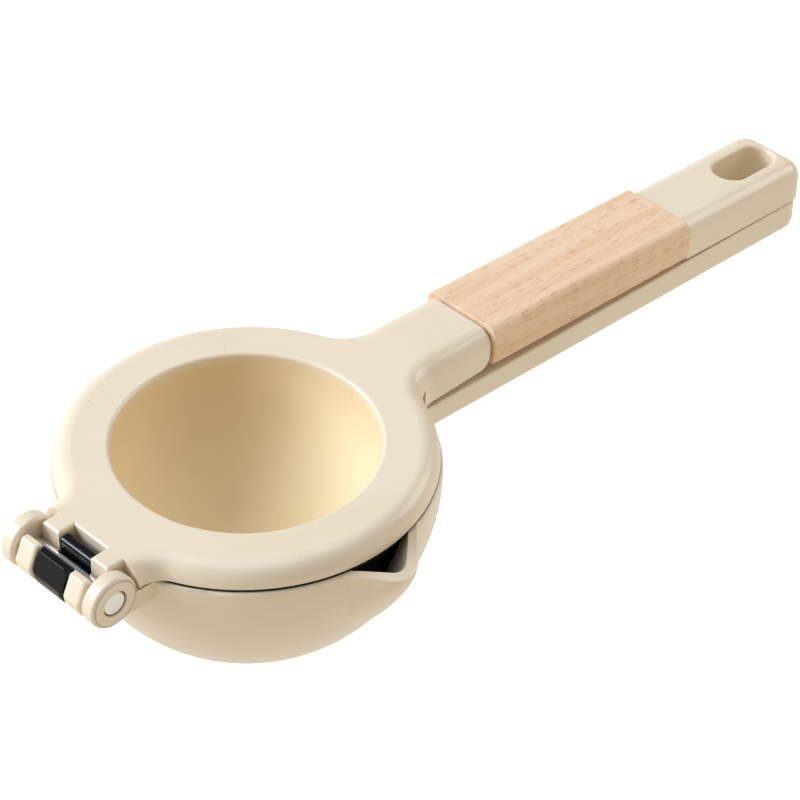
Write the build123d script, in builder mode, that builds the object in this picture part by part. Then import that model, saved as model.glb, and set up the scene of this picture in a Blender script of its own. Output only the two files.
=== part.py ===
from build123d import *

import os
from math import acos, cos, degrees, radians, sin, sqrt, tan

# A hinged two-arm citrus press, closed. Lengths are in millimetres.
# The origin is the centre of the bowl's flat foot. +X runs along the handles to the tail,
# -Y is the side that the spout pours to, and +Z is up.

# Bowl of the lower arm
rim_height = 39.0
rim_band_height = 2.0
bowl_radius = 41.9
rim_round = 0.7
bowl_wall = 2.4
foot_radius = 12.4
bowl_side_share = 0.48
bowl_floor_share = 0.58

# Pour spout
spout_reach = 7.4
spout_tip_radius = 4.6
spout_flank_angle = 45
spout_wall = 1.8
spout_drop = 1.2
spout_belly_tip_radius = 7.0
spout_low_tip_radius = 11.0
spout_low_height = 18.0
spout_level_count = 3
spout_fall_power = 1.25
channel_back_share = 0.76
channel_low_height = 14.0
channel_low_inset = 9.0
channel_low_tip_radius = 6.5
channel_low_back_share = 0.41

# Strainer
flange_thickness = 0.8
flange_inset = 0.2
basket_play = 0.8
basket_wall = 1.6
basket_depth = 28.0
basket_floor_radius = 10.0
basket_side_share = 0.46
basket_floor_share = 0.60
drain_hole_radius = 1.7
drain_row_spacing = 6.2
drain_row_count = 4
drain_holes_per_row = 6
tab_half_width = 4.6
tab_thickness = 2.4
tab_notch_play = 0.4
rib_height_above_pin = 4.2
rib_width = 2.9
rib_round = 1.1

# Press ring and cup
ring_inset = 0.6
ring_thickness = 4.8
ring_edge_round = 4.2
juice_gap = 5.6
cup_depth = 25.0
cup_wall = 2.5
cup_floor_radius = 5.0
cup_side_share = 0.50
cup_floor_share = 0.62
cup_mouth_round = 0.8

# Hinge
pin_radius = 1.9
pin_standoff = 8.2
pin_below_ring_top = 5.2
pin_play = 0.05
pin_head_radius = 2.8
pin_head_thickness = 1.2
pin_head_dome = 0.5
pin_end_inset = 0.2
pin_end_chamfer = 0.3
ear_radius = 6.1
ear_gap = 0.3
ear_inner = 10.9
ear_thickness = 3.8
ear_round = 0.9
ear_bore_play = 0.25
arm_below_pin = 4.9
arm_root_inset = 8.9
hook_radius = 6.0
prong_inner = 5.0
prong_outer = 10.2
lip_width = 1.9
lip_below_ring_top = 0.4
lip_round = 0.7
hook_round = 0.9
prong_round = 0.7
window_gap = 1.4
shoulder_half_width = 14.8
shoulder_blend = 6.0

# Handles
handle_half_width = 10.25
slope_blend = 60.0
press_tilt = 4.3
press_thickness = 8.8
neck_depth = 10.6
neck_step_gap = 1.1
neck_length = 23.9
neck_blend = 9.0
neck_end_round = 1.0
skirt_round = 3.5
grip_length = 67.0
tail_length = 43.2
tail_thickness = 9.5
tail_corner_round = 5.0
handle_gap = 0.95
lower_tilt = 3.43
lower_root_thickness = 6.9
lower_tail_thickness = 8.4
lower_inset = 0.8
lower_bottom_round = 2.8
lower_top_round = 0.5
slot_length = 18.2
slot_side_wall = 5.65
slot_end_wall = 3.4
slot_round = 0.8

# Grip and its screws
grip_joint = 0.2
grip_top_thickness = 4.6
grip_side_play = 0.15
grip_end_round = 0.3
grip_top_round = 2.4
grip_proud = 0.5
grip_bottom_round = 0.6
core_half_width = 6.0
screw_radius = 1.5
screw_head_radius = 2.9
screw_head_angle = 90
screw_bite = 3.0
screw_end_distance = 14.0

# Halvings in the search for a point on a curve, and how far from level a handle's top may lean, in degrees
bisection_steps = 30
level_tolerance = 10

# How far a cut or a joined solid runs past the face that it has to clear or meet
overrun = 2.0

# Levels and places worked out from the sizes above
spout_length = bowl_radius + spout_reach
ring_radius = bowl_radius - ring_inset
pin_reach = ring_radius + pin_standoff
arm_root_reach = bowl_radius - arm_root_inset
neck_step = bowl_radius + neck_step_gap
neck_end = ring_radius + neck_length
ring_bottom = rim_height + flange_thickness
ring_top = ring_bottom + ring_thickness
pin_height = ring_top - pin_below_ring_top
flange_radius = ring_radius - flange_inset
cavity_radius = bowl_radius - bowl_wall
basket_radius = cavity_radius - basket_play
basket_bottom = rim_height - basket_depth
cup_mouth_radius = basket_radius - basket_wall - juice_gap - cup_wall
channel_back = cavity_radius * channel_back_share
channel_low_reach = cavity_radius - channel_low_inset - channel_low_tip_radius
channel_low_back = cavity_radius * channel_low_back_share
cup_bottom = ring_top - cup_depth - cup_wall
ear_outer = ear_inner + ear_thickness
prong_face = -pin_reach + pin_radius + pin_play
window_face = prong_face + rib_width + window_gap
tail_start = neck_end + grip_length
tail_end = tail_start + tail_length
lower_end = tail_end - lower_inset
neck_bottom = ring_top - neck_depth
lower_root_top = neck_bottom - handle_gap
neck_corner_reach = sqrt((ring_radius + neck_blend) ** 2 - (handle_half_width + neck_blend) ** 2)
slope_start = neck_corner_reach + slope_blend * tan(radians(press_tilt / 2))
neck_run = neck_end - slope_start
slot_center = tail_end - slot_end_wall - slot_length / 2
slot_width = 2 * (handle_half_width - slot_side_wall)
top_of_everything = ring_top + ear_radius

# Planes: the side view through the middle, and the two sloping handle tops
side_plane = Plane.XZ
press_slope = tan(radians(press_tilt))
lower_slope = tan(radians(lower_tilt))
press_top_plane = Plane(
    origin=(slope_start, 0, ring_top),
    x_dir=(cos(radians(press_tilt)), 0, -sin(radians(press_tilt))),
    z_dir=(sin(radians(press_tilt)), 0, cos(radians(press_tilt))),
)
press_side_plane = Plane(
    origin=press_top_plane.origin,
    x_dir=press_top_plane.x_dir,
    z_dir=(0, -1, 0),
)
press_end_plane = Plane(
    origin=press_top_plane.origin + press_top_plane.x_dir * neck_run,
    x_dir=(0, 1, 0),
    z_dir=press_top_plane.x_dir,
)
grip_end_plane = press_end_plane.offset(grip_joint)
core_floor_plane = Plane(
    origin=press_top_plane.origin - press_top_plane.z_dir * press_thickness,
    x_dir=press_top_plane.x_dir,
    z_dir=-press_top_plane.z_dir,
)


def press_top_at(x):
    """Height of the press arm's top surface above the foot at a distance along the handle."""
    return ring_top - max(x - slope_start, 0) * press_slope


def lower_top_at(x):
    """Height of the lower handle's top surface at a distance along the handle."""
    return lower_root_top - (x - neck_step) * lower_slope


def bowl_radius_at(height):
    """Outer radius of the bowl at a height, read off the same curve that dome_profile draws."""
    depth = rim_height - rim_band_height
    low, high = 0.0, 1.0
    for _ in range(bisection_steps):
        middle = (low + high) / 2
        rest = 1 - middle
        level = depth * (rest**3 + 3 * rest**2 * middle * (1 - bowl_side_share))
        if level > height:
            low = middle
        else:
            high = middle
    rest = 1 - low
    inner = foot_radius + bowl_floor_share * (bowl_radius - foot_radius)
    return (
        bowl_radius * (rest**3 + 3 * rest**2 * low)
        + inner * 3 * rest * low**2
        + foot_radius * low**3
    )


def dome_profile(mouth_radius, mouth_height, floor_radius, floor_height, side_share, floor_share):
    """Draw half of a round bowl: straight down at the mouth, level at its flat floor."""
    depth = mouth_height - floor_height
    spread = mouth_radius - floor_radius
    with BuildLine() as outline:
        Bezier(
            (mouth_radius, mouth_height),
            (mouth_radius, mouth_height - side_share * depth),
            (floor_radius + floor_share * spread, floor_height),
            (floor_radius, floor_height),
        )
        Polyline(
            (floor_radius, floor_height),
            (0, floor_height),
            (0, mouth_height),
            (mouth_radius, mouth_height),
        )
    make_face(outline.edges())


def beak_outline(reach, tip_radius, flank_angle, back):
    """Draw a pointed outline to -Y: a round tip, two straight flanks and a straight back."""
    side = cos(radians(flank_angle))
    front = sin(radians(flank_angle))
    tip_x = tip_radius * side
    tip_y = -reach - tip_radius * front
    back_x = tip_x + (-back - tip_y) * front / side
    with BuildLine() as outline:
        Polyline((-tip_x, tip_y), (-back_x, -back), (back_x, -back), (tip_x, tip_y))
        ThreePointArc((tip_x, tip_y), (0, -reach - tip_radius), (-tip_x, tip_y))
    make_face(outline.edges())


def looks_up(face):
    """Whether a face looks up, give or take the lean of a handle."""
    return face.normal_at().Z > cos(radians(level_tolerance))


def looks_down(face):
    """Whether a face looks down, give or take the lean of a handle."""
    return face.normal_at().Z < -cos(radians(level_tolerance))


def looks_sideways(face):
    """Whether a face stands upright."""
    return abs(face.normal_at().Z) < sin(radians(level_tolerance))


def cut_handle_slot(arm):
    """Cut the long hanging slot straight down through a handle and round its upper rim."""
    with BuildSketch(Plane.XY) as slot_shape:
        with Locations((slot_center, 0)):
            SlotOverall(slot_length, slot_width)
    extrude(slot_shape.sketch, amount=top_of_everything, mode=Mode.SUBTRACT)
    slot_walls = arm.faces().filter_by(looks_sideways).filter_by(
        lambda face: abs(face.center().X - slot_center) < (slot_length + slot_end_wall) / 2
        and abs(face.center().Y) < (slot_width / 2 + handle_half_width) / 2
    )
    middle = max(wall.center().Z for wall in slot_walls)
    fillet(slot_walls.edges().filter_by(lambda edge: edge.center().Z > middle), slot_round)


def hook_profile(rib_thickness, rib_top):
    """Draw a hook in the side view: a cradle under the pin, a front lip and a rib behind the pin."""
    bore = pin_radius + pin_play
    lip_top = ring_top - lip_below_ring_top
    pin_x = -pin_reach
    with Locations((pin_x, pin_height)):
        Circle(hook_radius)
    with Locations((pin_x, pin_height + hook_radius)):
        Rectangle(2 * hook_radius, 2 * hook_radius, mode=Mode.SUBTRACT)
    with BuildLine() as lip:
        Polyline(
            (pin_x - hook_radius, pin_height),
            (pin_x - bore - lip_width, lip_top),
            (pin_x - bore, lip_top),
            (pin_x - bore, pin_height),
            (pin_x - hook_radius, pin_height),
        )
        fillet(lip.vertices().group_by(Axis.Y)[-1], lip_round)
    make_face(lip.edges())
    with BuildLine() as rib:
        Polyline(
            (pin_x + bore, pin_height),
            (pin_x + bore + rib_thickness, pin_height),
            (pin_x + bore + rib_thickness, rib_top),
            (pin_x + bore, rib_top),
            (pin_x + bore, pin_height),
        )
        fillet(rib.vertices().group_by(Axis.Y)[-1], rib_round)
    make_face(rib.edges())
    with Locations((pin_x, pin_height)):
        Circle(bore, mode=Mode.SUBTRACT)


def round_hook_sides(hook):
    """Return a hook with both sides of its outer curve rounded."""
    outer_arcs = hook.edges().filter_by(GeomType.CIRCLE).filter_by(
        lambda edge: edge.radius > hook_radius - pin_play
    )
    return hook.fillet(hook_round, outer_arcs)


def place_at_screws():
    """Places of the two screws on the underside of the grip's core."""
    near_neck = neck_run + screw_end_distance
    near_tail = neck_run + grip_length - screw_end_distance
    return Locations((near_neck, 0), (near_tail, 0))


# Lower arm: bowl, spout, hinge ears and lower handle in one casting
with BuildPart() as lower_arm:
    # Handle, with its corners and edges rounded before it joins the bowl
    handle_root = cavity_radius - overrun
    with BuildSketch(side_plane):
        with BuildLine():
            Polyline(
                (handle_root, lower_top_at(handle_root)),
                (lower_end, lower_top_at(lower_end)),
                (lower_end, lower_top_at(lower_end) - lower_tail_thickness),
                (handle_root, lower_top_at(handle_root) - lower_root_thickness),
                (handle_root, lower_top_at(handle_root)),
            )
        make_face()
    extrude(amount=handle_half_width, both=True)
    fillet(lower_arm.edges().filter_by(Axis.Z).group_by(Axis.X)[-1], tail_corner_round)
    handle_floor = lower_arm.faces().filter_by(looks_down)
    fillet(
        handle_floor.edges().filter_by_position(Axis.X, handle_root + overrun, lower_end),
        lower_bottom_round,
    )
    handle_roof = lower_arm.faces().filter_by(looks_up)
    fillet(
        handle_roof.edges().filter_by_position(Axis.X, handle_root + overrun, lower_end),
        lower_top_round,
    )

    # Two arms with round ears, one either side of the hinge
    with BuildSketch(side_plane.offset(ear_inner)):
        with Locations((-pin_reach, pin_height)):
            Circle(ear_radius)
        with BuildLine():
            Polyline(
                (-pin_reach, pin_height),
                (-flange_radius, rim_height),
                (-arm_root_reach, rim_height),
                (-arm_root_reach, pin_height - arm_below_pin),
                (-pin_reach, pin_height - arm_below_pin),
                (-pin_reach, pin_height),
            )
        make_face()
    near_ear = extrude(amount=ear_thickness)
    mirror(objects=near_ear, about=Plane.XZ)
    ear_edges = lower_arm.edges().filter_by(GeomType.CIRCLE).filter_by_position(
        Axis.X, -pin_reach - ear_radius, -pin_reach + ear_radius
    )
    fillet(ear_edges, ear_round)

    # Bowl, and the straight band at its rim
    with BuildSketch(side_plane):
        dome_profile(
            bowl_radius, rim_height - rim_band_height, foot_radius, 0, bowl_side_share, bowl_floor_share
        )
    revolve(axis=Axis.Z)
    with BuildSketch(Plane.XY.offset(rim_height)):
        Circle(bowl_radius)
    extrude(amount=-rim_band_height)
    rim_edge = lower_arm.edges().filter_by(GeomType.CIRCLE).filter_by(
        lambda edge: edge.radius == bowl_radius and edge.center().Z > rim_height - rim_band_height / 2
    )
    fillet(rim_edge, rim_round)

    # Beak of the spout: sharp at the rim, then ever rounder and shorter until the bowl takes it in
    with BuildSketch(Plane.XY.offset(rim_height)):
        beak_outline(spout_length - spout_tip_radius, spout_tip_radius, spout_flank_angle, channel_back)
    for level in range(1, spout_level_count + 1):
        share = level / spout_level_count
        height = rim_height - share * (rim_height - spout_low_height)
        side_radius = bowl_radius_at(height)
        tip_radius = spout_belly_tip_radius + share * (spout_low_tip_radius - spout_belly_tip_radius)
        reach = side_radius + spout_reach * (1 - share**spout_fall_power) - tip_radius
        flank = degrees(acos((side_radius - tip_radius) / reach))
        with BuildSketch(Plane.XY.offset(height)):
            beak_outline(reach, tip_radius, flank, side_radius * sin(radians(flank)))
    loft()

    # Inside of the bowl and channel of the spout
    with BuildSketch(side_plane):
        dome_profile(
            cavity_radius,
            rim_height + overrun,
            foot_radius - bowl_wall,
            bowl_wall,
            bowl_side_share,
            bowl_floor_share,
        )
    revolve(axis=Axis.Z, mode=Mode.SUBTRACT)
    with BuildSketch(Plane.XY.offset(channel_low_height)):
        beak_outline(channel_low_reach, channel_low_tip_radius, spout_flank_angle, channel_low_back)
    with BuildSketch(Plane.XY.offset(rim_height)):
        beak_outline(
            spout_length - spout_tip_radius, spout_tip_radius - spout_wall, spout_flank_angle, channel_back
        )
    loft(ruled=True, mode=Mode.SUBTRACT)

    # The lip of the spout falls away to its tip
    with BuildSketch(Plane.YZ):
        with BuildLine():
            Polyline(
                (-bowl_radius, rim_height),
                (-spout_length, rim_height - spout_drop),
                (-spout_length - overrun, rim_height - spout_drop),
                (-spout_length - overrun, rim_height + overrun),
                (-bowl_radius, rim_height + overrun),
                (-bowl_radius, rim_height),
            )
        make_face()
    extrude(amount=bowl_radius, both=True, mode=Mode.SUBTRACT)

    # Notch in the rim where the strainer's tab passes out to the hinge
    with BuildSketch(Plane.XY.offset(rim_height)):
        with Locations((-bowl_radius, 0)):
            Rectangle(bowl_radius, 2 * (tab_half_width + tab_notch_play))
    extrude(amount=flange_thickness - tab_thickness, mode=Mode.SUBTRACT)

    # Bore for the pin through both ears, widened in the near ear for the pin's head
    with BuildSketch(side_plane.offset(ear_outer)):
        with Locations((-pin_reach, pin_height)):
            Circle(pin_radius)
    extrude(amount=-2 * ear_outer, mode=Mode.SUBTRACT)
    with BuildSketch(side_plane.offset(ear_outer)):
        with Locations((-pin_reach, pin_height)):
            Circle(pin_head_radius + ear_bore_play)
    extrude(amount=-pin_end_inset - pin_head_thickness, mode=Mode.SUBTRACT)

    cut_handle_slot(lower_arm)
lower_arm.part.label = "lower_arm"

# Press arm: ring, cup, hinge hooks, neck, core under the grip, and tail in one casting
with BuildPart() as press_arm:
    # Plan outline, cut to the side view
    with BuildSketch(Plane.XY) as press_plan:
        Circle(ring_radius)
        with Locations((tail_end / 2, 0)):
            Rectangle(tail_end, 2 * handle_half_width)
        with Locations((prong_face / 2, 0)):
            Rectangle(-prong_face, 2 * shoulder_half_width)
        fillet(press_plan.vertices().filter_by_position(Axis.X, overrun, ring_radius), neck_blend)
        fillet(press_plan.vertices().filter_by_position(Axis.X, -ring_radius, -overrun), shoulder_blend)
        fillet(press_plan.vertices().group_by(Axis.X)[-1], tail_corner_round)
    extrude(amount=top_of_everything)
    with BuildSketch(side_plane) as press_side:
        with BuildLine():
            Polyline(
                (prong_face - overrun, ring_top),
                (slope_start, ring_top),
                (tail_end + overrun, press_top_at(tail_end + overrun)),
                (tail_end + overrun, press_top_at(tail_end + overrun) - tail_thickness),
                (neck_end, press_top_at(neck_end) - tail_thickness),
                (neck_step, neck_bottom),
                (neck_step, ring_bottom),
                (prong_face - overrun, ring_bottom),
                (prong_face - overrun, ring_top),
            )
        make_face()
        crease = press_side.vertices().sort_by_distance((slope_start, ring_top))[0]
        fillet(crease, slope_blend)
    extrude(amount=ring_radius + overrun, both=True, mode=Mode.INTERSECT)

    # Rolled top edge all round, but not across the hinge end
    crown = press_arm.faces().filter_by(looks_up)
    walls = press_arm.faces().filter_by(looks_sideways)
    rolled = [
        edge
        for edge in crown.edges()
        if edge in walls.edges() and edge.center().X > prong_face + pin_play
    ]
    fillet(rolled, ring_edge_round)

    # Pocket round the grip, and the rounded end of the neck that faces it
    with BuildSketch(press_side_plane):
        with Locations((neck_run + grip_length / 2, 0)):
            Rectangle(grip_length, 2 * (tail_thickness + overrun))
    extrude(amount=handle_half_width + overrun, both=True, mode=Mode.SUBTRACT)
    neck_face = press_arm.faces().filter_by(press_end_plane).filter_by_position(
        Axis.X, neck_end - overrun, neck_end + overrun
    )
    skirt_edge = neck_face.edges().filter_by(Axis.Y).sort_by(Axis.Z)[0]
    fillet(skirt_edge, skirt_round)
    neck_face = press_arm.faces().filter_by(press_end_plane).filter_by_position(
        Axis.X, neck_end - overrun, neck_end + overrun
    )
    fillet(neck_face.edges(), neck_end_round)

    # Core that runs through under the grip
    with BuildSketch(press_side_plane):
        with Locations((neck_run + grip_length / 2, -(grip_top_thickness + press_thickness) / 2)):
            Rectangle(grip_length + 2 * skirt_round, press_thickness - grip_top_thickness)
    extrude(amount=core_half_width, both=True)
    with Locations(core_floor_plane):
        with place_at_screws():
            CounterSinkHole(screw_radius, screw_head_radius, counter_sink_angle=screw_head_angle)

    # Press cup
    with BuildSketch(side_plane):
        dome_profile(
            cup_mouth_radius + cup_wall,
            ring_bottom,
            cup_floor_radius,
            cup_bottom,
            cup_side_share,
            cup_floor_share,
        )
    revolve(axis=Axis.Z)
    with BuildSketch(side_plane):
        dome_profile(
            cup_mouth_radius,
            ring_top,
            cup_floor_radius,
            cup_bottom + cup_wall,
            cup_side_share,
            cup_floor_share,
        )
    revolve(axis=Axis.Z, mode=Mode.SUBTRACT)
    cup_mouth = press_arm.edges().filter_by(GeomType.CIRCLE).filter_by(
        lambda edge: abs(edge.radius - cup_mouth_radius) < cup_mouth_round
    )
    fillet(cup_mouth.sort_by(Axis.Z)[-1], cup_mouth_round)

    # Hinge end: the shoulders are cut back from the ears, and a window is cut between two prongs
    notch_face = -pin_reach + ear_radius + ear_gap
    for side in (-1, 1):
        with BuildSketch(Plane.XY.offset(ring_top)):
            with Locations((notch_face, side * prong_outer)):
                Rectangle(
                    2 * ear_radius,
                    shoulder_half_width,
                    align=(Align.MAX, Align.MIN if side > 0 else Align.MAX),
                )
        extrude(amount=-ring_thickness, mode=Mode.SUBTRACT)
    with BuildSketch(Plane.XY.offset(ring_top)):
        with Locations((window_face, 0)):
            Rectangle(2 * ear_radius, 2 * prong_inner, align=(Align.MAX, Align.CENTER))
    extrude(amount=-ring_thickness, mode=Mode.SUBTRACT)
    prong_rims = press_arm.faces().filter_by(looks_up).edges().filter_by(
        lambda edge: edge.center().X < window_face + pin_play
    )
    fillet(prong_rims, prong_round)

    # Hooks that carry the prongs under the pin
    with BuildSketch(side_plane.offset(prong_inner)):
        hook_profile(hook_radius - pin_radius - pin_play, ring_top - ring_thickness / 2)
    near_hook = round_hook_sides(extrude(amount=prong_outer - prong_inner, mode=Mode.PRIVATE))
    add(near_hook)
    mirror(objects=near_hook, about=Plane.XZ)

    cut_handle_slot(press_arm)
press_arm.part.label = "press_arm"

# Strainer: a thin flange, a holed basket, and a tab that ends in a hook on the pin
with BuildPart() as strainer:
    with BuildSketch(Plane.XY.offset(rim_height)):
        Circle(flange_radius)
    extrude(amount=flange_thickness)
    with BuildSketch(side_plane):
        dome_profile(
            basket_radius,
            rim_height,
            basket_floor_radius,
            basket_bottom,
            basket_side_share,
            basket_floor_share,
        )
    revolve(axis=Axis.Z)
    tab_start = -pin_reach + pin_radius + rib_width
    tab_finish = overrun - basket_radius
    with BuildSketch(Plane.XY.offset(ring_bottom)):
        with Locations(((tab_start + tab_finish) / 2, 0)):
            Rectangle(tab_finish - tab_start, 2 * tab_half_width)
    extrude(amount=-tab_thickness)
    with BuildSketch(side_plane):
        hook_profile(rib_width, pin_height + rib_height_above_pin)
    add(round_hook_sides(extrude(amount=tab_half_width, both=True, mode=Mode.PRIVATE)))
    with BuildSketch(side_plane):
        dome_profile(
            basket_radius - basket_wall,
            ring_bottom,
            basket_floor_radius,
            basket_bottom + basket_wall,
            basket_side_share,
            basket_floor_share,
        )
    revolve(axis=Axis.Z, mode=Mode.SUBTRACT)
    with BuildSketch(Plane.XY) as drain_holes:
        Circle(drain_hole_radius)
        for row in range(1, drain_row_count + 1):
            with PolarLocations(row * drain_row_spacing, row * drain_holes_per_row):
                Circle(drain_hole_radius)
    extrude(amount=basket_bottom + basket_depth / 2, mode=Mode.SUBTRACT)
strainer.part.label = "strainer"

# Hinge pin: a plain rod with a low domed head, held in the two ears
with BuildPart() as hinge_pin:
    head_seat = ear_outer - pin_end_inset - pin_head_thickness
    with BuildSketch(side_plane.offset(head_seat)):
        with Locations((-pin_reach, pin_height)):
            Circle(pin_radius)
    extrude(amount=-head_seat - ear_outer + pin_end_inset)
    chamfer(hinge_pin.edges().sort_by(Axis.Y)[-1], pin_end_chamfer)
    with BuildSketch(side_plane.offset(head_seat)):
        with Locations((-pin_reach, pin_height)):
            Circle(pin_head_radius)
    extrude(amount=pin_head_thickness)
    fillet(hinge_pin.edges().sort_by(Axis.Y)[0], pin_head_dome)
hinge_pin.part.label = "hinge_pin"

# Beech grip: a saddle over the top and both sides of the core
with BuildPart() as grip:
    with BuildSketch(grip_end_plane) as grip_section:
        with Locations((0, (grip_proud - press_thickness) / 2)):
            Rectangle(2 * (handle_half_width + grip_proud), press_thickness + grip_proud)
        fillet(grip_section.vertices().group_by(Axis.Y)[-1], grip_top_round)
        fillet(grip_section.vertices().group_by(Axis.Y)[0], grip_bottom_round)
    extrude(amount=grip_length - 2 * grip_joint)
    fillet(grip.faces().filter_by(press_end_plane).edges(), grip_end_round)
    with BuildSketch(grip_end_plane.offset(-overrun)):
        with Locations((0, -grip_top_thickness - press_thickness / 2)):
            Rectangle(2 * (core_half_width + grip_side_play), press_thickness)
    extrude(amount=grip_length + 2 * overrun, mode=Mode.SUBTRACT)
    with Locations(core_floor_plane):
        with place_at_screws():
            Hole(screw_radius, depth=press_thickness - grip_top_thickness + screw_bite)
grip.part.label = "grip"

# Two countersunk screws from below, through the core into the grip
with BuildPart(core_floor_plane) as grip_screws:
    with place_at_screws():
        Cylinder(
            screw_radius,
            press_thickness - grip_top_thickness + screw_bite,
            align=(Align.CENTER, Align.CENTER, Align.MAX),
        )
        Cone(
            screw_radius,
            screw_head_radius,
            (screw_head_radius - screw_radius) / tan(radians(screw_head_angle / 2)),
            align=(Align.CENTER, Align.CENTER, Align.MAX),
        )
grip_screws.part.label = "grip_screws"

os.makedirs("parts", exist_ok=True)
for piece in (lower_arm, press_arm, strainer, hinge_pin, grip, grip_screws):
    export_step(piece.part, f"parts/{piece.part.label}.step")
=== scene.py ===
"""A cream two-arm citrus press with a beech grip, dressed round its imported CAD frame."""

import logging
import math
from collections.abc import Mapping, Sequence
from dataclasses import dataclass, field
from enum import Enum
from typing import Optional, Union

import bpy
from mathutils import Matrix, Vector


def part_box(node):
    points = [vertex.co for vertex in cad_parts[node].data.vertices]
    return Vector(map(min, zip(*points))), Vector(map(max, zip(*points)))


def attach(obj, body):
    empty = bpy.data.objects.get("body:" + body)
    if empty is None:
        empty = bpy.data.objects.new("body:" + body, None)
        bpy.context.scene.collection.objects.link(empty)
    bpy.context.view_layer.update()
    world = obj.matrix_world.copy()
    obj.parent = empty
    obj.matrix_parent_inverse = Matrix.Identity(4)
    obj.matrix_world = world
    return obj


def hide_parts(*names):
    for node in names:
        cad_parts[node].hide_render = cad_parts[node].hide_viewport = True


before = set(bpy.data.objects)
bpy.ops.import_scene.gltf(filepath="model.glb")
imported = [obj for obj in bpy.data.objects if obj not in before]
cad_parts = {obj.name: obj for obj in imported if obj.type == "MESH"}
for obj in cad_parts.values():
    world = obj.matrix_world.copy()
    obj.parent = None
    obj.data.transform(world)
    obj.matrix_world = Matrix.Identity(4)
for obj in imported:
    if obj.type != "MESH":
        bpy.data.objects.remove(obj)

logging.basicConfig(level=logging.INFO, format="%(message)s")
log = logging.getLogger("citrus_press")

MM = 0.001

# Slope of the press arm's handle, down towards the tail
HANDLE_TILT = math.radians(4.3)

Colour = tuple[float, float, float, float]
Triple = tuple[float, float, float]
Feed = Union["Signal", float, int, Sequence[float]]
Feeds = Mapping[Union[str, int], Feed]


class Body(Enum):
    """The bodies of the press that pieces ride on."""

    LOWER = "lower_arm_body"
    PRESS = "press_arm_body"
    STRAINER = "strainer_body"


class Slot(Enum):
    """The material slots of the record."""

    COAT = "cream_coat"
    NYLON = "black_nylon"
    STEEL = "polished_steel"
    SCREW = "screw_steel"
    WOOD = "beech"


@dataclass(frozen=True)
class Signal:
    """A shader socket that takes part in sums."""

    shader: "Shader"
    socket: bpy.types.NodeSocket

    def _math(self, operation: str, first: Feed, second: Feed) -> "Signal":
        """Join two values with one Math node.

        Args:
            operation: The node's operation.
            first: The first value.
            second: The second value.

        Returns:
            The result.
        """
        return self.shader.add("ShaderNodeMath", {"operation": operation}, {0: first, 1: second})

    def __add__(self, other: Feed) -> "Signal":
        """Sum of this and another value."""
        return self._math("ADD", self, other)

    def __radd__(self, other: Feed) -> "Signal":
        """Sum of another value and this."""
        return self._math("ADD", other, self)

    def __sub__(self, other: Feed) -> "Signal":
        """This less another value."""
        return self._math("SUBTRACT", self, other)

    def __rsub__(self, other: Feed) -> "Signal":
        """Another value less this."""
        return self._math("SUBTRACT", other, self)

    def __mul__(self, other: Feed) -> "Signal":
        """Product of this and another value."""
        return self._math("MULTIPLY", self, other)

    def __rmul__(self, other: Feed) -> "Signal":
        """Product of another value and this."""
        return self._math("MULTIPLY", other, self)

    def __truediv__(self, other: Feed) -> "Signal":
        """This divided by another value."""
        return self._math("DIVIDE", self, other)

    def __pow__(self, other: Feed) -> "Signal":
        """This raised to a power."""
        return self._math("POWER", self, other)

    def __abs__(self) -> "Signal":
        """Size of this value without its sign."""
        return self._math("ABSOLUTE", self, 0.0)

    def at_least(self, floor: Feed) -> "Signal":
        """The larger of this and another value.

        Args:
            floor: The other value.

        Returns:
            The larger one.
        """
        return self._math("MAXIMUM", self, floor)


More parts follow.
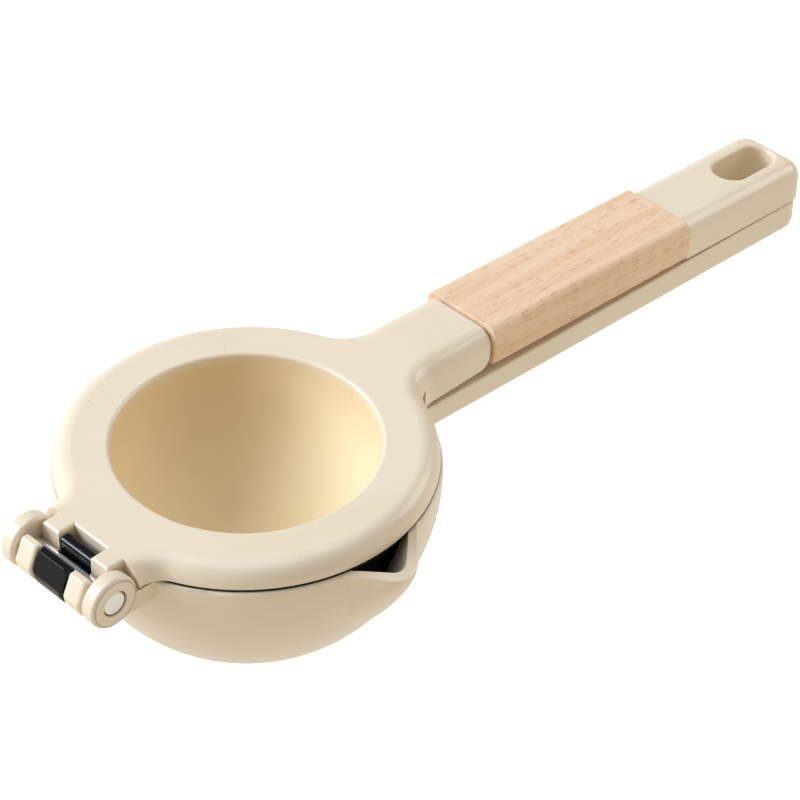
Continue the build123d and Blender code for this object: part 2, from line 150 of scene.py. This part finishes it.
class Shader:
    """The node tree of a material or a world, and the one place where its nodes are made."""

    def __init__(
        self, owner: Union[bpy.types.Material, bpy.types.World], coordinates: str = "Object"
    ) -> None:
        """Start with an empty tree.

        Args:
            owner: The material or world that the tree belongs to.
            coordinates: Which texture coordinates the tree works in.
        """
        owner.use_nodes = True
        self.owner = owner
        self.tree = owner.node_tree
        self.tree.nodes.clear()
        self.coordinates = self.add("ShaderNodeTexCoord", {}, {}, coordinates)

    @classmethod
    def named(cls, name: str) -> "Shader":
        """Start a new material.

        Args:
            name: The material's name.

        Returns:
            Its empty tree.
        """
        return cls(bpy.data.materials.new(name))

    def add(
        self,
        kind: str,
        settings: Mapping[str, object],
        feeds: Feeds,
        output: Union[str, int] = 0,
    ) -> Signal:
        """Add a node, set it up and join it.

        Args:
            kind: The node's Blender type.
            settings: Attributes to set first; "stops" fills a colour ramp.
            feeds: Values or signals for input sockets, by name or number.
            output: The output socket to hand back, by name or number.

        Returns:
            The chosen output as a signal.
        """
        node = self.tree.nodes.new(kind)
        for name, value in settings.items():
            if name == "stops":
                self._fill_ramp(node.color_ramp, value)
            else:
                setattr(node, name, value)
        for key, value in feeds.items():
            socket = node.inputs[key]
            if isinstance(value, Signal):
                self.tree.links.new(value.socket, socket)
            else:
                socket.default_value = value
        return Signal(self, node.outputs[output])

    @staticmethod
    def _fill_ramp(ramp: bpy.types.ColorRamp, stops: Sequence[tuple[float, Colour]]) -> None:
        """Replace a ramp's stops.

        Args:
            ramp: The ramp to fill.
            stops: Places from 0 to 1 with their colours, in order.
        """
        while len(ramp.elements) > 1:
            ramp.elements.remove(ramp.elements[-1])
        ramp.elements[0].position, ramp.elements[0].color = stops[0]
        for position, colour in stops[1:]:
            ramp.elements.new(position).color = colour

    def blend(self, share: Feed, first: Feed, second: Feed) -> Signal:
        """Mix two colours.

        Args:
            share: How much of the second colour, from 0 to 1.
            first: The colour at 0.
            second: The colour at 1.

        Returns:
            The mixed colour.
        """
        settings = {"data_type": "RGBA", "blend_type": "MIX", "clamp_factor": True}
        return self.add("ShaderNodeMix", settings, {0: share, 6: first, 7: second}, 2)

    def step(self, value: Feed, low: float, high: float) -> Signal:
        """Rise smoothly from 0 to 1.

        Args:
            value: The value to compare.
            low: Where the rise starts.
            high: Where the rise ends.

        Returns:
            0 below low, 1 above high.
        """
        settings = {"interpolation_type": "SMOOTHSTEP", "clamp": True}
        feeds = {"Value": value, "From Min": low, "From Max": high}
        return self.add("ShaderNodeMapRange", settings, feeds)

    def axes(self, vector: Feed) -> tuple[Signal, Signal, Signal]:
        """Split a vector.

        Args:
            vector: The vector.

        Returns:
            Its three parts.
        """
        split = self.add("ShaderNodeSeparateXYZ", {}, {0: vector})
        outputs = split.socket.node.outputs
        return tuple(Signal(self, outputs[part]) for part in ("X", "Y", "Z"))

    def turned(self, vector: Feed, angles: Triple) -> Signal:
        """Turn coordinates about the origin.

        Args:
            vector: The coordinates.
            angles: Angles about X, Y and Z in radians.

        Returns:
            The turned coordinates.
        """
        return self.add("ShaderNodeMapping", {}, {"Vector": vector, "Rotation": angles})

    def stretched(self, vector: Feed, scale: Triple) -> Signal:
        """Scale coordinates on each axis.

        Args:
            vector: The coordinates.
            scale: Pattern cells to the metre on each axis.

        Returns:
            The scaled coordinates.
        """
        return self.add("ShaderNodeMapping", {}, {"Vector": vector, "Scale": scale})

    def noise(self, vector: Feed, scale: float, detail: float) -> Signal:
        """Cloudy noise.

        Args:
            vector: Where to take it.
            scale: Clouds to the unit of the vector.
            detail: How many finer layers it has.

        Returns:
            A value from 0 to 1.
        """
        feeds = {"Vector": vector, "Scale": scale, "Detail": detail, "Roughness": 0.5}
        return self.add("ShaderNodeTexNoise", {}, feeds)

    def bump(
        self, height: Feed, strength: float, distance: float, under: Optional[Signal] = None
    ) -> Signal:
        """Turn a height into a normal.

        Args:
            height: The height, from 0 to 1.
            strength: How much of the bump shows.
            distance: What a height of 1 stands for, in metres.
            under: A normal that this bump lies on.

        Returns:
            The normal.
        """
        feeds: dict[Union[str, int], Feed] = {
            "Height": height,
            "Strength": strength,
            "Distance": distance,
        }
        if under is not None:
            feeds["Normal"] = under
        return self.add("ShaderNodeBump", {}, feeds)

    def surface(self, feeds: Feeds) -> bpy.types.Material:
        """Close a material's tree with its surface shader.

        Args:
            feeds: Values or signals for the Principled shader's sockets.

        Returns:
            The finished material.
        """
        self.close(self.add("ShaderNodeBsdfPrincipled", {}, feeds), "ShaderNodeOutputMaterial")
        return self.owner

    def close(self, shade: Signal, kind: str) -> None:
        """Join a shade to the tree's output.

        Args:
            shade: The surface or background to show.
            kind: The output node's Blender type.
        """
        end = self.tree.nodes.new(kind)
        self.tree.links.new(shade.socket, end.inputs["Surface"])


@dataclass(frozen=True)
class CreamCoat:
    """Baked cream enamel: smooth and glossy, with a faint orange peel, a few pinholes, and a
    darker tan painted inside the cup as shade.
    """

    light: Colour = (0.80, 0.68, 0.50, 1.0)
    warm: Colour = (0.775, 0.645, 0.465, 1.0)
    # Painted shade: a darker, more saturated tan for the inside of the cup, in place of shade
    # and light bounced round the hollow.
    shaded_cup: Colour = (0.77, 0.60, 0.35, 1.0)
    speck: Colour = (0.22, 0.17, 0.11, 1.0)
    speck_strength: float = 0.8
    speck_spacing: float = 9 * MM
    worn: Colour = (0.33, 0.35, 0.34, 1.0)
    worn_strength: float = 0.85
    cloud_size: float = 26 * MM
    peel_size: float = 1.5 * MM
    peel_height: float = 0.12 * MM
    swell_size: float = 11 * MM
    swell_height: float = 1.2 * MM
    sheen_size: float = 6 * MM
    roughness: float = 0.27
    roughness_change: float = 0.10
    cup_roughness: float = 0.38
    gloss_coat: float = 0.25

    ring_top: float = 44.6 * MM
    cup_mouth_radius: float = 29 * MM
    cup_floor_radius: float = 5 * MM
    cup_depth: float = 25 * MM
    pin_reach: float = 49.5 * MM
    pin_height: float = 39.4 * MM
    seam_radius: float = 5.35 * MM

    def material(self) -> bpy.types.Material:
        """Build the coat.

        Returns:
            The material.
        """
        shader = Shader.named("cream_coat")
        place = shader.coordinates
        x, y, z = shader.axes(place)
        cloud = shader.noise(place, 1 / self.cloud_size, 3.0)
        paint = shader.blend(shader.step(cloud, 0.35, 0.7), self.light, self.warm)
        # Painted shade: the cup's inside is tinted darker tan. The same mask also makes the cup
        # rougher and leaves off its clear coat.
        shaded_cup = self._shaded_cup_mask(shader, x, y, z)
        paint = shader.blend(shaded_cup, paint, self.shaded_cup)
        seams = self._seams(shader, x, y, z)
        paint = shader.blend(seams * self.worn_strength, paint, self.worn)
        feeds = {"Vector": place, "Scale": 1 / self.speck_spacing}
        from_speck = shader.add("ShaderNodeTexVoronoi", {"feature": "F1"}, feeds, "Distance")
        specks = 1 - shader.step(from_speck, 0.014, 0.022)
        paint = shader.blend(specks * self.speck_strength, paint, self.speck)
        peel = shader.noise(place, 1 / self.peel_size, 1.0)
        swell = shader.noise(place, 1 / self.swell_size, 1.0)
        bump = shader.bump(peel, 0.10, self.peel_height)
        bump = shader.bump(swell, 0.18, self.swell_height, bump)
        sheen = shader.noise(place, 1 / self.sheen_size, 3.0)
        roughness = self.roughness + self.roughness_change * sheen + self.cup_roughness * shaded_cup
        return shader.surface(
            {
                "Base Color": paint,
                "Roughness": roughness,
                "IOR": 1.5,
                "Coat Weight": (1 - shaded_cup) * self.gloss_coat,
                "Coat Roughness": 0.12,
                "Normal": bump,
            }
        )

    def _shaded_cup_mask(self, shader: Shader, x: Signal, y: Signal, z: Signal) -> Signal:
        """Find the inside of the press cup, where a darker tan is painted on as shade.

        Args:
            shader: The material's tree.
            x: Place along the handles.
            y: Place across them.
            z: Height.

        Returns:
            1 on the cup's wall and floor, 0 elsewhere.
        """
        radius = (x * x + y * y) ** 0.5
        sink = (self.ring_top - z) / self.cup_depth
        widening = self.cup_mouth_radius - self.cup_floor_radius
        wall = self.cup_floor_radius + widening * (1 - sink * sink).at_least(0.0) ** 0.5
        inside = shader.step(wall - radius, -1.6 * MM, -1.0 * MM)
        above_floor = shader.step(z, 18.1 * MM, 18.6 * MM)
        under_mouth = 1 - shader.step(z, 41.5 * MM, 44.3 * MM)
        return inside * above_floor * under_mouth

    def _seams(self, shader: Shader, x: Signal, y: Signal, z: Signal) -> Signal:
        """Find the thin lines where the coat runs off the edges of the two ears.

        Args:
            shader: The material's tree.
            x: Place along the handles.
            y: Place across them.
            z: Height.

        Returns:
            1 on a line, 0 elsewhere.
        """
        from_pin = ((x + self.pin_reach) ** 2.0 + (z - self.pin_height) ** 2.0) ** 0.5
        line = 1 - shader.step(abs(from_pin - self.seam_radius), 0.08 * MM, 0.22 * MM)
        outer_faces = shader.step(abs(y), 14.2 * MM, 14.5 * MM)
        return line * outer_faces


@dataclass(frozen=True)
class BlackNylon:
    """Glossy black moulded nylon with a faint cloudy sheen."""

    dark: Colour = (0.002, 0.002, 0.003, 1.0)
    pale: Colour = (0.006, 0.006, 0.008, 1.0)
    cloud_size: float = 4 * MM
    scuff_turn: Triple = (0.3, 0.2, 0.9)
    scuff_scale: Triple = (900.0, 90.0, 300.0)
    flow_size: float = 1.2 * MM
    flow_height: float = 0.2 * MM
    roughness: float = 0.11
    scuff_roughness: float = 0.18

    def material(self) -> bpy.types.Material:
        """Build the nylon.

        Returns:
            The material.
        """
        shader = Shader.named("black_nylon")
        place = shader.coordinates
        cloud = shader.noise(place, 1 / self.cloud_size, 3.0)
        along = shader.stretched(shader.turned(place, self.scuff_turn), self.scuff_scale)
        scuff = shader.step(shader.noise(along, 1.0, 2.0), 0.45, 0.8)
        flow = shader.noise(place, 1 / self.flow_size, 2.0)
        return shader.surface(
            {
                "Base Color": shader.blend(cloud, self.dark, self.pale),
                "Roughness": self.roughness + self.scuff_roughness * scuff,
                "IOR": 1.47,
                "Specular IOR Level": 0.32,
                "Normal": shader.bump(flow, 0.12, self.flow_height),
            }
        )


@dataclass(frozen=True)
class DrawnSteel:
    """Polished steel with fine drawing marks along Y, the way that the pin runs."""

    name: str
    bright: Colour = (0.78, 0.77, 0.76, 1.0)
    dull: Colour = (0.68, 0.66, 0.64, 1.0)
    marks_scale: Triple = (2600.0, 90.0, 2600.0)
    marks_height: float = 0.08 * MM
    stain_size: float = 2.5 * MM
    roughness: float = 0.10
    marks_roughness: float = 0.16

    def material(self) -> bpy.types.Material:
        """Build the steel.

        Returns:
            The material.
        """
        shader = Shader.named(self.name)
        place = shader.coordinates
        marks = shader.noise(shader.stretched(place, self.marks_scale), 1.0, 3.0)
        stain = shader.step(shader.noise(place, 1 / self.stain_size, 2.0), 0.35, 0.8)
        return shader.surface(
            {
                "Base Color": shader.blend(stain, self.bright, self.dull),
                "Metallic": 1.0,
                "Roughness": self.roughness + self.marks_roughness * marks,
                "Normal": shader.bump(marks, 0.10, self.marks_height),
            }
        )


@dataclass(frozen=True)
class Flecks:
    """One kind of short dark dash in the wood: the middles of some stretched cells."""

    cells: Triple
    empty: float
    strength: float
    size: float = 0.34

    def mask(self, shader: Shader, grain: Signal) -> Signal:
        """Find the dashes.

        Args:
            shader: The material's tree.
            grain: Coordinates that run along the fibres in X.

        Returns:
            1 on a dash, 0 elsewhere.
        """
        feeds = {
            "Vector": shader.stretched(grain, self.cells),
            "Scale": 1.0,
            "Randomness": 0.9,
        }
        from_middle = shader.add("ShaderNodeTexVoronoi", {"feature": "F1"}, feeds, "Distance")
        cell = Signal(shader, from_middle.socket.node.outputs["Color"])
        draw, _, _ = shader.axes(cell)
        dash = 1 - shader.step(from_middle, self.size * 0.5, self.size)
        return dash * shader.step(draw, self.empty, self.empty + 0.05)


@dataclass(frozen=True)
class Beech:
    """Oiled beech: pale pinkish wood with short dark flecks that run along the grain."""

    pale: Colour = (0.84, 0.61, 0.415, 1.0)
    deep: Colour = (0.77, 0.50, 0.30, 1.0)
    fleck: Colour = (0.46, 0.19, 0.085, 1.0)
    bands_scale: Triple = (14.0, 330.0, 330.0)
    fibres_scale: Triple = (70.0, 3200.0, 3200.0)
    fine: Flecks = Flecks((300.0, 3000.0, 3000.0), 0.42, 0.45)
    wide: Flecks = Flecks((190.0, 2100.0, 2100.0), 0.66, 0.70)
    pore_depth: float = 0.18 * MM
    roughness: float = 0.50
    fibres_roughness: float = 0.14

    def material(self) -> bpy.types.Material:
        """Build the wood.

        Returns:
            The material.
        """
        shader = Shader.named("beech")
        grain = shader.turned(shader.coordinates, (0.0, -HANDLE_TILT, 0.0))
        bands = shader.noise(shader.stretched(grain, self.bands_scale), 1.0, 4.0)
        fibres = shader.noise(shader.stretched(grain, self.fibres_scale), 1.0, 3.0)
        fine = self.fine.mask(shader, grain)
        wide = self.wide.mask(shader, grain)
        wood = shader.blend(shader.step(bands, 0.3, 0.72), self.pale, self.deep)
        wood = shader.blend(shader.step(fibres, 0.42, 0.75) * 0.22, wood, self.deep)
        wood = shader.blend(fine * self.fine.strength, wood, self.fleck)
        wood = shader.blend(wide * self.wide.strength, wood, self.fleck)
        height = fibres * 0.5 + (1 - wide) * 0.5
        return shader.surface(
            {
                "Base Color": wood,
                "Roughness": self.roughness + self.fibres_roughness * fibres,
                "IOR": 1.45,
                "Normal": shader.bump(height, 0.22, self.pore_depth),
            }
        )


def dress(piece: bpy.types.Object, material: bpy.types.Material) -> None:
    """Give a piece its finish.

    Args:
        piece: The piece.
        material: Its finish.
    """
    piece.data.materials.clear()
    piece.data.materials.append(material)


@dataclass
class Assembly:
    """Pieces that ride on one body."""

    body: Body
    pieces: list[bpy.types.Object] = field(default_factory=list)

    def carry(self, node: str, material: bpy.types.Material, slot: Slot) -> None:
        """Take a CAD node into the assembly, as it is, with a finish.

        Args:
            node: The CAD node, which rides its body already.
            material: Its finish.
            slot: The record's slot; not used.
        """
        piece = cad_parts[node]
        dress(piece, material)
        self.pieces.append(piece)

    def report(self) -> None:
        """Log the pieces and how many faces they have."""
        for piece in self.pieces:
            log.info("%s on %s: %d faces", piece.name, self.body.value, len(piece.data.polygons))


@dataclass
class LowerArm(Assembly):
    """The lower casting, with its bowl, spout, ears and handle, and the pin in its ears."""

    body: Body = Body.LOWER

    def build(self, coat: bpy.types.Material, steel: bpy.types.Material) -> None:
        """Dress the casting and the pin.

        Args:
            coat: Finish of the casting.
            steel: Finish of the pin.
        """
        self.carry("lower_arm", coat, Slot.COAT)
        self.carry("hinge_pin", steel, Slot.STEEL)


@dataclass
class Strainer(Assembly):
    """The black nylon basket between the arms."""

    body: Body = Body.STRAINER

    def build(self, nylon: bpy.types.Material) -> None:
        """Dress the basket.

        Args:
            nylon: Its finish.
        """
        self.carry("strainer", nylon, Slot.NYLON)


@dataclass
class PressArm(Assembly):
    """The upper casting with its ring, cup and hooks, the beech saddle and its screws."""

    body: Body = Body.PRESS

    def build(
        self, coat: bpy.types.Material, wood: bpy.types.Material, steel: bpy.types.Material
    ) -> None:
        """Dress the casting and the saddle, and set the screws.

        Args:
            coat: Finish of the casting.
            wood: Finish of the saddle.
            steel: Finish of the screws.
        """
        self.carry("press_arm", coat, Slot.COAT)
        self.carry("grip", wood, Slot.WOOD)
        screws = Screws().build(steel)
        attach(screws, self.body.value)
        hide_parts("grip_screws")
        self.pieces.append(screws)


class Nodes:
    """A geometry node tree with named inputs, and the modifier that runs it."""

    def __init__(self, name: str) -> None:
        """Start an empty tree.

        Args:
            name: The tree's name.
        """
        self.tree = bpy.data.node_groups.new(name, "GeometryNodeTree")
        self.tree.interface.new_socket(
            "Geometry", in_out="OUTPUT", socket_type="NodeSocketGeometry"
        )
        self.sizes: dict[str, float] = {}
        self.entry = self.tree.nodes.new("NodeGroupInput")

    def size(self, name: str, value: float) -> bpy.types.NodeSocket:
        """Add a named input.

        Args:
            name: The input's name.
            value: What the modifier sets it to.

        Returns:
            The socket to join to other nodes.
        """
        item = self.tree.interface.new_socket(
            name, in_out="INPUT", socket_type="NodeSocketFloat"
        )
        self.sizes[item.identifier] = value
        return self.entry.outputs[name]

    def add(
        self,
        kind: str,
        settings: Mapping[str, object],
        feeds: Mapping[Union[str, int], object],
    ) -> bpy.types.Node:
        """Add a node, set it up and join it.

        Args:
            kind: The node's Blender type.
            settings: Attributes to set first.
            feeds: Values, output sockets to join, or lists of these, by input name or number.

        Returns:
            The new node.
        """
        node = self.tree.nodes.new(kind)
        for name, value in settings.items():
            setattr(node, name, value)
        for key, value in feeds.items():
            if isinstance(value, bpy.types.NodeSocket):
                self.tree.links.new(value, node.inputs[key])
            elif isinstance(value, list):
                for socket in value:
                    self.tree.links.new(socket, node.inputs[key])
            else:
                node.inputs[key].default_value = value
        return node

    def maths(self, operation: str, first: object, second: object) -> bpy.types.NodeSocket:
        """Join two numbers with one Math node.

        Args:
            operation: The node's operation.
            first: The first number.
            second: The second number.

        Returns:
            The result.
        """
        node = self.add("ShaderNodeMath", {"operation": operation}, {0: first, 1: second})
        return node.outputs[0]

    def grow(
        self, name: str, geometry: bpy.types.NodeSocket, material: bpy.types.Material
    ) -> bpy.types.Object:
        """Close the tree, run it once and keep the mesh that it makes.

        Args:
            name: The new piece's name.
            geometry: The tree's last geometry.
            material: The piece's finish.

        Returns:
            The piece, as a plain mesh.
        """
        real = self.add("GeometryNodeRealizeInstances", {}, {0: geometry})
        dressed = self.add(
            "GeometryNodeSetMaterial", {}, {0: real.outputs[0], "Material": material}
        )
        self.add("NodeGroupOutput", {}, {0: dressed.outputs[0]})
        blank = bpy.data.meshes.new(name)
        piece = bpy.data.objects.new(name, blank)
        bpy.context.scene.collection.objects.link(piece)
        modifier = piece.modifiers.new(name, "NODES")
        modifier.node_group = self.tree
        for identifier, value in self.sizes.items():
            modifier[identifier] = value
        depsgraph = bpy.context.evaluated_depsgraph_get()
        mesh = bpy.data.meshes.new_from_object(piece.evaluated_get(depsgraph))
        piece.modifiers.clear()
        piece.data = mesh
        bpy.data.meshes.remove(blank)
        mesh.name = name
        return piece


@dataclass
class Screws:
    """Two countersunk screws with a cross in the head, set from below through the arm's core."""

    shank_radius: float = 1.5 * MM
    head_radius: float = 2.9 * MM
    head_depth: float = 1.4 * MM
    length: float = 7.2 * MM
    cross_width: float = 0.75 * MM
    cross_reach: float = 1.7 * MM
    cross_depth: float = 0.9 * MM
    spacing: float = 39.0 * MM
    sides: int = 48

    def build(self, steel: bpy.types.Material) -> bpy.types.Object:
        """Grow both screws and set them where the CAD has them.

        Args:
            steel: Their finish.

        Returns:
            One piece with both screws.
        """
        nodes = Nodes("cross_screws")
        screw = self._screw(nodes)
        step = nodes.add("ShaderNodeCombineXYZ", {}, {0: nodes.size("Spacing", self.spacing)})
        row = nodes.add("GeometryNodeMeshLine", {}, {"Count": 2, "Offset": step.outputs[0]})
        placed = nodes.add(
            "GeometryNodeInstanceOnPoints", {}, {"Points": row.outputs[0], "Instance": screw}
        )
        piece = nodes.grow("cross_head_screws", placed.outputs[0], steel)
        piece.data.transform(Matrix.Rotation(HANDLE_TILT, 4, "Y"))
        seat = min(vertex.co.z for vertex in piece.data.vertices)
        low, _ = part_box("grip_screws")
        first = low.x + self.head_radius * math.cos(HANDLE_TILT)
        piece.data.transform(Matrix.Translation((first, 0.0, low.z - seat)))
        return piece

    def _screw(self, nodes: Nodes) -> bpy.types.NodeSocket:
        """Make one screw, head down, with its cross cut out.

        Args:
            nodes: The tree to make it in.

        Returns:
            Its geometry.
        """
        head_radius = nodes.size("Head radius", self.head_radius)
        shank_radius = nodes.size("Shank radius", self.shank_radius)
        head_depth = nodes.size("Head depth", self.head_depth)
        length = nodes.size("Length", self.length)
        sunk = nodes.maths("MULTIPLY", head_depth, 0.5)
        head = nodes.add(
            "GeometryNodeMeshCone",
            {},
            {
                "Vertices": self.sides,
                "Radius Top": shank_radius,
                "Radius Bottom": head_radius,
                "Depth": head_depth,
            },
        )
        shank = nodes.add(
            "GeometryNodeMeshCylinder",
            {},
            {
                "Vertices": self.sides,
                "Radius": shank_radius,
                "Depth": nodes.maths("SUBTRACT", length, sunk),
            },
        )
        middle = nodes.maths("MULTIPLY", nodes.maths("ADD", length, sunk), 0.5)
        lift = nodes.add("ShaderNodeCombineXYZ", {}, {2: middle})
        raised = nodes.add(
            "GeometryNodeTransform",
            {},
            {0: shank.outputs["Mesh"], "Translation": lift.outputs[0]},
        )
        whole = nodes.add(
            "GeometryNodeMeshBoolean",
            {"operation": "UNION", "solver": "EXACT"},
            {1: [raised.outputs[0], head.outputs["Mesh"]]},
        )
        long, wide, deep = 2 * self.cross_reach, self.cross_width, 2 * self.cross_depth
        bars = [
            nodes.add("GeometryNodeMeshCube", {}, {"Size": size}).outputs["Mesh"]
            for size in ((long, wide, deep), (wide, long, deep))
        ]
        screw = nodes.add(
            "GeometryNodeMeshBoolean",
            {"operation": "DIFFERENCE", "solver": "EXACT"},
            {0: whole.outputs[0], 1: bars},
        )
        return screw.outputs[0]


@dataclass(frozen=True)
class SoftBox:
    """A square soft light, placed as the camera sees the press."""

    name: str
    aside: float
    ahead: float
    rise: float
    size: float
    power: float
    tint: Triple

    def hang(self, target: Vector, right: Vector, level: Vector) -> None:
        """Add the light to the scene.

        Args:
            target: What it looks at, and what its place is counted from.
            right: The camera's right.
            level: The camera's way forward, level with the floor.
        """
        data = bpy.data.lights.new(self.name, "AREA")
        data.shape = "SQUARE"
        data.size = self.size
        data.energy = self.power
        data.color = self.tint
        light = bpy.data.objects.new(self.name, data)
        offset = right * self.aside + level * self.ahead + Vector((0.0, 0.0, self.rise))
        light.location = target + offset
        light.rotation_mode = "QUATERNION"
        light.rotation_quaternion = (-offset).to_track_quat("-Z", "Y")
        bpy.context.scene.collection.objects.link(light)


@dataclass
class Studio:
    """Pale floor, soft lights and the camera."""

    ring_top: Vector = field(default_factory=lambda: Vector((0.0, 0.0, 44.6 * MM)))
    middle: Vector = field(default_factory=lambda: Vector((0.06, 0.0, 0.03)))
    bearing: float = math.radians(45.277)
    elevation: float = math.radians(39.811)
    roll: float = math.radians(0.787)
    distance: float = 664.55 * MM
    focal_pixels: float = 3136.3
    image_pixels: float = 800.0
    sensor: float = 36.0
    ring_pixel: tuple[float, float] = (246.34, 439.73)
    cool: Triple = (0.85, 0.96, 1.15)
    plain: Triple = (1.0, 0.98, 0.95)
    horizon: Colour = (0.88, 0.835, 0.74, 1.0)
    overhead: Colour = (0.27, 0.26, 0.24, 1.0)
    floor_reach: float = 3.0
    floor_dark: Colour = (0.90, 0.90, 0.90, 1.0)
    floor_light: Colour = (0.92, 0.92, 0.92, 1.0)
    floor_glow: float = 0.7

    def _axes(self) -> tuple[Vector, Vector, Vector]:
        """Work out how the camera is turned.

        Returns:
            Its right, up and forward directions.
        """
        right = Vector((math.cos(self.bearing), -math.sin(self.bearing), 0.0))
        level = Vector((math.sin(self.bearing), math.cos(self.bearing), 0.0))
        drop = Vector((0.0, 0.0, math.sin(self.elevation)))
        forward = level * math.cos(self.elevation) - drop
        up = right.cross(forward)
        turned = right * math.cos(self.roll) + up * math.sin(self.roll)
        upright = up * math.cos(self.roll) - right * math.sin(self.roll)
        return turned, upright, forward

    def camera(self) -> None:
        """Set the camera where the photograph was taken from."""
        right, up, forward = self._axes()
        half = self.image_pixels / 2
        per_pixel = self.distance / self.focal_pixels
        across = (self.ring_pixel[0] - half) * per_pixel
        height = (half - self.ring_pixel[1]) * per_pixel
        place = self.ring_top - right * across - up * height - forward * self.distance
        data = bpy.data.cameras.new("camera")
        data.sensor_width = self.sensor
        data.lens = self.focal_pixels * self.sensor / self.image_pixels
        data.clip_start = 0.02
        data.clip_end = 20.0
        camera = bpy.data.objects.new("camera", data)
        turn = Matrix((right, up, -forward)).transposed().to_4x4()
        camera.matrix_world = Matrix.Translation(place) @ turn
        bpy.context.scene.collection.objects.link(camera)
        bpy.context.scene.camera = camera

    def floor(self) -> None:
        """Lay a wide pale floor under the foot."""
        mesh = bpy.data.meshes.new("floor")
        far = self.floor_reach
        corners = [(-far, -far, 0.0), (far, -far, 0.0), (far, far, 0.0), (-far, far, 0.0)]
        mesh.from_pydata(corners, [], [(0, 1, 2, 3)])
        floor = bpy.data.objects.new("floor", mesh)
        bpy.context.scene.collection.objects.link(floor)
        shader = Shader.named("pale_floor")
        cloud = shader.noise(shader.coordinates, 3.0, 2.0)
        paint = shader.surface(
            {
                "Base Color": shader.blend(cloud, self.floor_dark, self.floor_light),
                "Roughness": 0.9,
                "Specular IOR Level": 0.0,
                "Emission Color": (1.0, 1.0, 1.0, 1.0),
                "Emission Strength": self.floor_glow,
            }
        )
        floor.data.materials.append(paint)
        floor.visible_diffuse = False
        floor.visible_glossy = False

    def lights(self) -> None:
        """Hang the soft lights round the object."""
        right, _, forward = self._axes()
        level = Vector((forward.x, forward.y, 0.0)).normalized()
        for box in (
            SoftBox("left_box", -2.2, 0.1, 1.3, size=1.3, power=71.0, tint=self.cool),
            SoftBox("top_box", -0.2, 0.0, 1.15, size=1.0, power=3.6, tint=self.cool),
            SoftBox("right_box", 0.95, 0.45, 0.6, size=0.6, power=4.2, tint=self.plain),
        ):
            box.hang(self.middle, right, level)
        bpy.context.scene.view_settings.view_transform = "Standard"

    def surroundings(self) -> None:
        """Light from the walls of the studio: bright and warm low down, dim overhead."""
        world = bpy.data.worlds.new("studio")
        shader = Shader(world, "Generated")
        _, _, height = shader.axes(shader.coordinates)
        level = shader.add("ShaderNodeMapRange", {}, {"Value": height, "From Min": -1.0})
        stops = ((0.40, self.horizon), (0.85, self.overhead))
        walls = shader.add("ShaderNodeValToRGB", {"stops": stops}, {0: level})
        shader.close(
            shader.add("ShaderNodeBackground", {}, {"Color": walls}), "ShaderNodeOutputWorld"
        )
        bpy.context.scene.world = world


def main() -> None:
    """Build the press and its studio."""
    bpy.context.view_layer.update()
    coat = CreamCoat().material()
    lower, press, strainer = LowerArm(), PressArm(), Strainer()
    lower.build(coat, DrawnSteel("polished_steel").material())
    press.build(coat, Beech().material(), DrawnSteel("screw_steel", roughness=0.22).material())
    strainer.build(BlackNylon().material())
    for assembly in (lower, press, strainer):
        assembly.report()
    studio = Studio()
    studio.floor()
    studio.lights()
    studio.surroundings()
    studio.camera()


if __name__ == "__main__":
    main()
